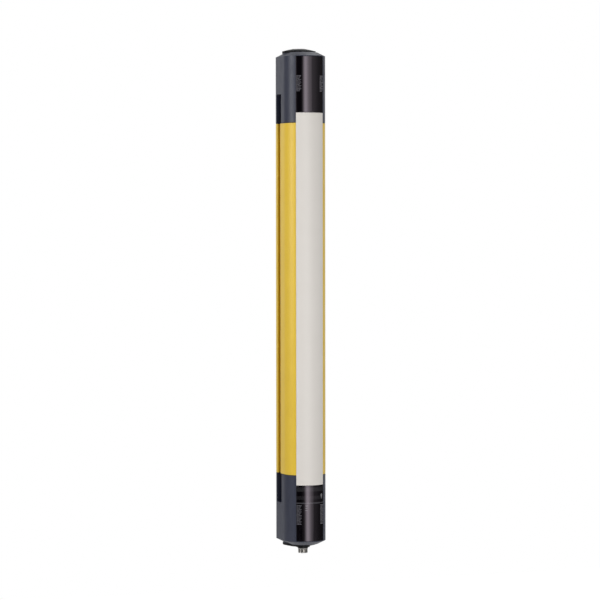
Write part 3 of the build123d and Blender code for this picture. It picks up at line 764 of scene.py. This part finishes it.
@dataclass
class PrintBlock:
    """A block of short printed dashes, or of painted reflection bands, on a window, with no letters.

    Args:
        arc: the housing's front arc.
        name: the piece's name.
        angle: degrees round from the front.
        low: height of its lower edge.
        high: height of its upper edge.
        finish: the ink, or the painted reflection.
        width_mm: width of the block.
        bar_mm: height of a dash.
        gap_mm: space between rows.
        proud_mm: how far the ink reaches in and, half as far, out.
        column_angle: degrees of a column, about.
        rows: start and end of each row's dashes, as shares of the width, used in turn.
    """

    arc: FrontArc
    name: str
    angle: float
    low: float
    high: float
    finish: Finish
    width_mm: float
    bar_mm: float
    gap_mm: float
    proud_mm: float = 0.03
    column_angle: float = 1.2
    rows: tuple[Stops, ...] = (
        ((0.0, 1.0),),
        ((0.0, 0.38), (0.48, 0.86)),
        ((0.0, 0.7),),
        ((0.0, 0.24), (0.34, 1.0)),
        ((0.0, 0.52), (0.62, 0.78)),
    )

    def build(self) -> None:
        """Builds the dashes as one piece, a trace proud of the window."""
        pitch = (self.bar_mm + self.gap_mm) * MM
        count = max(1, int((self.high - self.low + self.gap_mm * MM) / pitch))
        whole = math.degrees(self.width_mm * MM / self.arc.radius)
        runs = []
        for row in range(count):
            low = self.high - self.bar_mm * MM - row * pitch
            for first, last in self.rows[row % len(self.rows)]:
                left, right = (self.angle + (share - 0.5) * whole for share in (first, last))
                steps = max(2, round((right - left) / self.column_angle))
                angles = [left + (right - left) * step / steps for step in range(steps + 1)]
                runs.append([(angle, low, low + self.bar_mm * MM) for angle in angles])
        piece = MeshMaker.strips(self.name, self.arc, runs, self.proud_mm)
        Dresser.own(piece, self.finish, "plug_grey")


@dataclass
class IndicatorMark:
    """A small drop-shaped light field on the lower window.

    Args:
        arc: the housing's front arc.
        angle: degrees round from the front.
        middle: height of its widest place.
        width_mm: its width.
        height_mm: its height.
        taper: power by which its point narrows.
        proud_mm: how far it reaches in and, half as far, out.
        steps: columns across.
    """

    arc: FrontArc
    angle: float
    middle: float
    width_mm: float = 3.4
    height_mm: float = 6.6
    taper: float = 0.8
    proud_mm: float = 0.04
    steps: int = 24

    def build(self) -> None:
        """Builds the mark as one thin closed piece that follows the window."""
        columns = []
        for step in range(self.steps + 1):
            share = -math.cos(math.pi * step / self.steps)
            side = math.degrees(share * self.width_mm * MM / 2 / self.arc.radius)
            above = self.width_mm / 2 * math.sqrt(max(0.0, 1 - share * share))
            below = (self.height_mm - self.width_mm / 2) * (1 - abs(share)) ** self.taper
            columns.append((self.angle + side, self.middle - below * MM, self.middle + above * MM))
        piece = MeshMaker.strips("indicator_mark", self.arc, [columns], self.proud_mm)
        Dresser.own(piece, INK_PALE, "plug_grey")


@dataclass
class WindowPrints:
    """All that is printed on the two windows, with painted reflections of the light field's edges on the
    lower one, placed by the height over the lower disc's face.

    Args:
        pane: the windows' outer arc.
        disc_mm: from the lower cap's end down to that face.
        blocks: name, angle, lower and upper height, ink or painted reflection, width, dash and gap of each
            block.
        mark: angle and height of the drop-shaped mark.
    """

    pane: FrontArc
    disc_mm: float = 4.5
    blocks: tuple[tuple[str, float, float, float, Finish, float, float, float], ...] = (
        ("upper_left_print", -33.7, 547.0, 567.0, INK_GREY, 6.2, 0.8, 0.7),
        ("upper_right_print", 34.5, 547.0, 567.0, INK_SIDE, 6.2, 0.8, 0.7),
        ("lower_left_print", -33.7, 29.0, 53.5, INK_GREY, 6.2, 0.8, 0.7),
        ("lower_right_print", 35.5, 29.0, 53.5, INK_SIDE, 6.2, 0.8, 0.7),
        ("lower_front_print", -13.0, 46.0, 53.0, INK_PALE, 3.6, 0.6, 2.2),
        # the line and the top band are painted reflections of the light field's edges, drawn like ink under
        # the gloss; the middle band is a faint lighter band
        ("light_field_line_sheen", 0.0, 55.15, 56.65, PAINTED_EDGE_SHEEN, 37.4, 1.5, 0.2),
        ("light_field_middle", 0.0, 60.2, 64.4, INK_DEEP, 37.4, 4.2, 0.2),
        ("light_field_top_sheen", 0.0, 69.9, 74.1, PAINTED_FIELD_SHEEN, 37.4, 4.2, 0.2),
    )
    mark: Span = (33.0, 65.0)

    def build(self) -> None:
        """Builds the blocks and the mark."""
        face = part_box("lower_end_cap")[0].z - self.disc_mm * MM
        for name, angle, low, high, *rest in self.blocks:
            PrintBlock(self.pane, name, angle, face + low * MM, face + high * MM, *rest).build()
        IndicatorMark(self.pane, self.mark[0], face + self.mark[1] * MM).build()


@dataclass
class PivotEnd:
    """The bevelled discs that the column turns on, with the plug in the upper one.

    Args:
        rounding_mm: rounding of the discs' edges.
        rounded_angle: least angle that is rounded on them.
        plug_rounding_mm: rounding of the plug's edge.
    """

    rounding_mm: float = 0.4
    rounded_angle: float = 9.0
    plug_rounding_mm: float = 0.25

    def build(self) -> None:
        """Dresses the discs, the plug and the pivot screw."""
        for end in ENDS:
            Dresser.carried(f"{end}_pivot_disc", DISC_BLACK, self.rounding_mm, self.rounded_angle)
        Dresser.carried("top_plug", PLUG_GREY, self.plug_rounding_mm)
        Dresser.carried("pivot_screw", SCREW_STEEL)


@dataclass
class Connector:
    """The threaded connector under the lower disc.

    Args:
        pitch_mm: pitch of the thread.
        depth_mm: depth of the thread.
        bore_mm: radius of the socket.
        lead_in_mm: length over which the thread starts.
        mouth_bevel_mm: bevel inside the mouth.
        neck_inset_mm: how much narrower the neck in the seal is.
        seal_rounding_mm: rounding of the seal's edges.
        steps: segments round.
        rows: rows in one turn of the thread.
    """

    pitch_mm: float = 1.0
    depth_mm: float = 0.5
    bore_mm: float = 4.4
    lead_in_mm: float = 0.6
    mouth_bevel_mm: float = 0.3
    neck_inset_mm: float = 0.8
    seal_rounding_mm: float = 0.2
    steps: int = 96
    rows: int = 8

    def thread_radius(self, turn: float, height: float, low: float, high: float, outer: float) -> float:
        """Gives the shell's radius at one place on the thread.

        Args:
            turn: share of a full turn.
            height: the place's height.
            low: height of the mouth.
            high: height of the thread's root end.
            outer: radius over the thread.

        Returns:
            The radius.
        """
        phase = (height / (self.pitch_mm * MM) - turn) % 1.0
        tooth = abs(2 * phase - 1)
        fade = min(1.0, max(0.0, (height - low) / (self.lead_in_mm * MM)))
        run_out = min(1.0, max(0.0, (high - height) / (self.pitch_mm * MM)))
        return outer - self.depth_mm * MM * (tooth * run_out + (1 - fade) * (1 - tooth * run_out))

    def shell(self) -> None:
        """Builds the threaded shell as one closed tube."""
        low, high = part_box("connector_shell")
        seal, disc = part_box("connector_seal")[0].z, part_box("lower_pivot_disc")[0].z
        outer = (high.x - low.x) / 2
        centre = (low + high) / 2
        bore, bevel = self.bore_mm * MM, self.mouth_bevel_mm * MM
        neck = outer - self.neck_inset_mm * MM
        count = int((seal - low.z) / (self.pitch_mm * MM / self.rows))
        heights = [low.z + (seal - low.z) * i / count for i in range(count + 1)]
        rings: list[list[Vector]] = []
        for step in range(self.steps):
            turn = step / self.steps
            ray = Vector((math.cos(2 * math.pi * turn), math.sin(2 * math.pi * turn), 0.0))
            column = [(bore, high.z), (bore, low.z + bevel), (bore + bevel, low.z)]
            column += [(self.thread_radius(turn, z, low.z, seal, outer), z) for z in heights]
            column += [(neck, seal), (neck, disc), (outer, disc), (outer, high.z)]
            rings.append([Vector((centre.x, centre.y, 0)) + ray * r + Vector((0, 0, z)) for r, z in column])
        piece = MeshMaker.stack("connector_thread", rings, capped=False, crisp_angle=50.0)
        Dresser.own(piece, NICKEL, "nickel", "connector_shell")

    def build(self) -> None:
        """Builds the shell and dresses what is in and round it."""
        self.shell()
        Dresser.carried("connector_seal", SEAL_BLACK, self.seal_rounding_mm)
        Dresser.carried("connector_insert", INSERT_BLACK)
        Dresser.carried("connector_pins", CONTACT_GOLD)
        Dresser.carried("connector_nut", NICKEL)


@dataclass
class InnerParts:
    """Everything behind the windows and inside the extrusion.

    Args:
        finishes: the finish of each node that comes once.
        paired: the finish of each node that comes at both ends.
    """

    finishes: dict[str, Finish] = field(default_factory=lambda: {
        "carrier_plate": CARRIER_SHEET,
        "control_board": BOARD_GREEN,
        "indicator_board": BOARD_GREEN,
        "indicator_light_guide": LENS_CLEAR,
        "board_components": COMPONENT_DARK,
        "board_spacers": SPACER_WHITE,
        "board_screws": SCREW_STEEL,
        "connector_leads": CABLE_GREY,
        "lead_plug": CABLE_PLUG,
    })
    paired: dict[str, Finish] = field(default_factory=lambda: {
        "window_seal": SEAL_BLACK,
        "cap_screws": SCREW_STEEL,
        "optics_holder": OPTICS_BLACK,
        "optics_screws": SCREW_STEEL,
        "lens": LENS_CLEAR,
        "diode_board": BOARD_GREEN,
        "diode": DIODE_CLEAR,
        "ribbon_cable": CABLE_GREY,
        "ribbon_plugs": CABLE_PLUG,
    })

    def build(self) -> None:
        """Dresses the inner CAD nodes."""
        for name, finish in self.finishes.items():
            Dresser.carried(name, finish)
        for kind, finish in self.paired.items():
            for end in ENDS:
                Dresser.carried(f"{end}_{kind}", finish)


@dataclass
class Softbox:
    """One soft lamp that faces the column, brighter in one part of its width.

    Args:
        name: the lamp's name.
        azimuth: degrees round from the front, positive to the right.
        distance: metres from the column.
        low: height of its lower edge where it stands.
        high: height of its upper edge.
        width: metres.
        radiance: brightness of its brightest part.
        lean: degrees that it leans over sideways.
        fall: brightness across the width, as place and share.
        elevation: degrees above the horizontal that it is raised to.
    """

    name: str
    azimuth: float
    distance: float
    low: float
    high: float
    width: float
    radiance: float
    lean: float = 0.0
    fall: Stops = ((0.0, 1.0), (1.0, 1.0))
    elevation: float = 0.0

    def build(self) -> None:
        """Places the lamp, unseen by the camera, with a face that fades towards its sides."""
        data = bpy.data.lights.new(self.name, "AREA")
        data.shape = "RECTANGLE"
        data.size = self.width
        data.size_y = self.high - self.low
        data.energy = self.radiance * math.pi * self.width * data.size_y
        data.use_nodes = True
        nodes = Nodes(data.node_tree)
        emission = next(node for node in nodes.tree.nodes if node.type == "EMISSION")
        split = nodes.node("ShaderNodeSeparateXYZ")
        nodes.feed(split, nodes.node("ShaderNodeNewGeometry").outputs["Parametric"])
        nodes.give(emission.inputs["Color"], nodes.greys(split.outputs["X"], self.fall))
        lamp = bpy.data.objects.new(self.name, data)
        turn, rise = math.radians(self.azimuth), math.radians(self.elevation)
        middle = Vector((0.0, 0.0, (self.low + self.high) / 2))
        away = Vector((math.sin(turn) * math.cos(rise), -math.cos(turn) * math.cos(rise), math.sin(rise)))
        lamp.location = middle + self.distance * away
        facing = (-away).to_track_quat("-Z", "Y").to_matrix()
        lamp.rotation_euler = (facing @ Matrix.Rotation(math.radians(self.lean), 3, "Z")).to_euler()
        lamp.visible_camera = False
        bpy.context.scene.collection.objects.link(lamp)
        LOG.info("%s placed", self.name)


@dataclass
class Studio:
    """Pale floor, white surround, soft lamps and the camera.

    Args:
        floor_z: height of the floor.
        ambient: level of the world's light on matt surfaces, by degrees round from the front.
        azimuth: where the camera stands, in degrees round from the front.
        distance: horizontal metres from the column's plan centre.
        eye_z: the camera's height.
        aim_z: height that it looks at.
        aside: metres by which it looks past the column, to the left.
        focal_px: focal length in pixels.
        frame_px: width of the frame in pixels.
        sensor_mm: width of the camera's sensor.
        clip_end: metres that the camera sees.
        roll: degrees.
        surround: grey of the surround in reflections, by degrees round from the front.
        overhead: grey of the surround in reflections, by the height of the direction.
        rear_card: grey of a low card behind on the right, by degrees round from the front.
        rear_card_height: how the card fades, by the height of the direction.
        mirrored_glow: share of the floor's glow that reflections show.
        floor_glow: how far the floor goes over into white, by the share of its reach.
        floor_reach: half of the floor's width.
        floor_grey: the floor's own grey.
        floor_roughness: its roughness.
        lamps: the soft lamps.
    """

    floor_z: float = -0.2
    ambient: Stops = (
        (-180, 0.95), (-112, 0.95), (-88, 0.42), (-10, 0.4), (20, 0.58), (45, 0.42), (105, 0.34),
        (135, 0.9), (180, 0.95),
    )
    azimuth: float = -20.6
    distance: float = 2.95
    eye_z: float = 0.398
    aim_z: float = 0.3056
    aside: float = 0.0023
    focal_px: float = 2446.0
    frame_px: int = 600
    sensor_mm: float = 36.0
    clip_end: float = 150.0
    roll: float = -0.065
    surround: Stops = (
        (-180, 0.9), (-159, 0.85), (-140, 0.40), (-118, 0.14), (-100, 0.32), (-85, 0.6), (-66, 0.15),
        (-52, 0.03), (-34, 0.03), (-20, 0.3), (8, 0.72), (20, 0.72), (26, 0.55), (38, 0.44), (50, 0.32),
        (65, 0.17), (99, 0.07), (150, 0.08), (168, 0.4), (180, 0.9),
    )
    overhead: Stops = (
        (-1.0, 0.3), (-0.2, 0.35), (-0.06, 0.7), (0.03, 1.0), (0.8, 1.0), (0.93, 0.12), (1.0, 0.08),
    )
    rear_card: Stops = ((104, 0.0), (112, 0.8), (165, 0.8), (180, 0.0))
    rear_card_height: Stops = ((-0.125, 0.15), (-0.1, 1.0), (0.12, 1.0), (0.28, 0.0))
    mirrored_glow: float = 0.3
    floor_glow: Stops = ((0.0, 0.42), (0.2, 0.46), (0.75, 0.93), (0.95, 1.0))
    floor_reach: float = 1.0
    floor_grey: float = 0.6
    floor_roughness: float = 0.9
    lamps: list[Softbox] = field(default_factory=lambda: [
        Softbox("front_softbox", 1.5, 0.85, -0.19, 0.74, 0.78, 3.15, 12.5,
                ((0.0, 0.03), (0.07, 0.12), (0.156, 0.38), (0.238, 0.74), (0.33, 1.0), (0.43, 0.97),
                 (0.52, 0.76), (0.61, 0.5), (0.702, 0.33), (0.782, 0.23), (0.865, 0.17), (1.0, 0.17))),
        Softbox("left_softbox", -86.0, 1.3, 0.22, 1.32, 0.62, 4.1, 0.0,
                ((0.0, 0.3), (0.25, 1.0), (0.75, 1.0), (1.0, 0.3))),
        Softbox("top_softbox", 8.0, 1.5, 0.1, 0.9, 0.9, 2.2, elevation=57.0),
        Softbox("rear_softbox", 146.0, 1.4, 0.25, 0.95, 0.6, 1.7, elevation=43.0),
    ])

    def world(self) -> None:
        """Sets a white surround, with dark cards where reflections need them."""
        world = bpy.data.worlds.new("studio_world")
        bpy.context.scene.world = world
        world.use_nodes = True
        world.node_tree.nodes.clear()
        nodes = Nodes(world.node_tree)
        split = nodes.node("ShaderNodeSeparateXYZ")
        nodes.feed(split, nodes.node("ShaderNodeTexCoord").outputs["Generated"])
        back = nodes.maths("MULTIPLY", split.outputs["Y"], -1.0)
        turned = nodes.maths("ARCTAN2", split.outputs["X"], back)
        around = nodes.maths("MULTIPLY_ADD", turned, 0.5 / math.pi, 0.5)
        risen = nodes.maths("MULTIPLY_ADD", split.outputs["Z"], 0.5, 0.5)
        soft, cards, rear_card = (nodes.greys(around, [(at / 360 + 0.5, grey) for at, grey in stops])
                                  for stops in (self.ambient, self.surround, self.rear_card))
        rise, low_rise = (nodes.greys(risen, [((at + 1) / 2, grey) for at, grey in stops])
                          for stops in (self.overhead, self.rear_card_height))
        mirrored = nodes.maths("MULTIPLY_ADD", rear_card, low_rise, nodes.maths("MULTIPLY", cards, rise))
        seen, glossy = nodes.rays()
        lit = nodes.either(glossy, nodes.background(soft), nodes.background(mirrored))
        whole = nodes.either(seen, lit, nodes.background())
        nodes.give(nodes.node("ShaderNodeOutputWorld").inputs["Surface"], whole)

    def floor(self) -> None:
        """Lays a pale floor that keeps the soft shadow, fades into the white and is clear from below."""
        reach, grey = self.floor_reach, self.floor_grey
        corners = [(-reach, -reach), (reach, -reach), (reach, reach), (-reach, reach)]
        mesh = bpy.data.meshes.new("studio_floor")
        mesh.from_pydata([(x, y, self.floor_z) for x, y in corners], [], [(0, 1, 2, 3)])
        floor = bpy.data.objects.new("studio_floor", mesh)
        bpy.context.scene.collection.objects.link(floor)
        material = bpy.data.materials.new("pale_floor")
        material.use_nodes = True
        nodes = Nodes(material.node_tree)
        shader = nodes.tree.nodes["Principled BSDF"]
        for name, value in (("Base Color", (grey, grey, grey, 1)), ("Roughness", self.floor_roughness),
                            ("Specular IOR Level", 0.0)):
            nodes.give(shader.inputs[name], value)
        length = nodes.node("ShaderNodeVectorMath", operation="LENGTH")
        nodes.feed(length, nodes.node("ShaderNodeTexCoord").outputs["Object"])
        share = nodes.maths("DIVIDE", length.outputs["Value"], reach)
        seen, glossy = nodes.rays()
        level = nodes.maths("MULTIPLY_ADD", glossy, self.mirrored_glow, seen)
        glow = nodes.feed(nodes.node("ShaderNodeEmission"), nodes.greys(share, self.floor_glow), level)
        total = nodes.feed(nodes.node("ShaderNodeAddShader"), shader.outputs[0], glow)
        side = nodes.node("ShaderNodeNewGeometry").outputs["Backfacing"]
        clear = nodes.node("ShaderNodeBsdfTransparent").outputs[0]
        nodes.give(nodes.tree.nodes["Material Output"].inputs["Surface"], nodes.either(side, total, clear))
        mesh.materials.append(material)

    def camera(self) -> None:
        """Places the camera where the photograph was taken from."""
        data = bpy.data.cameras.new("photo_camera")
        data.sensor_width = self.sensor_mm
        data.lens = self.focal_px / self.frame_px * self.sensor_mm
        data.clip_end = self.clip_end
        camera = bpy.data.objects.new("photo_camera", data)
        turn = math.radians(self.azimuth)
        away = self.distance * Vector((math.sin(turn), -math.cos(turn), 0.0))
        camera.location = away + Vector((0.0, 0.0, self.eye_z))
        aim = Vector((-self.aside * math.cos(turn), -self.aside * math.sin(turn), self.aim_z))
        facing = (aim - camera.location).to_track_quat("-Z", "Y").to_matrix()
        camera.rotation_euler = (facing @ Matrix.Rotation(math.radians(self.roll), 3, "Z")).to_euler()
        bpy.context.scene.collection.objects.link(camera)
        bpy.context.scene.camera = camera

    def build(self) -> None:
        """Builds the whole studio."""
        bpy.context.scene.view_settings.view_transform = "Standard"
        self.world()
        self.floor()
        for lamp in self.lamps:
            lamp.build()
        self.camera()


def main() -> None:
    """Builds the looks of the light barrier."""
    logging.basicConfig(level=logging.INFO, format="%(name)s: %(message)s")
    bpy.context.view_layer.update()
    Studio().build()
    arc = FrontArc.from_frame()
    Housing().build()
    FrontStrip(arc).build()
    pane = arc.sunk(PANE_INSET_MM)
    Window(pane, "upper").build()
    Window(pane, "lower", grooves_mm=STATUS_GROOVES_MM).build()
    WindowPrints(pane).build()
    PivotEnd().build()
    Connector().build()
    InnerParts().build()


if __name__ == "__main__":
    main()
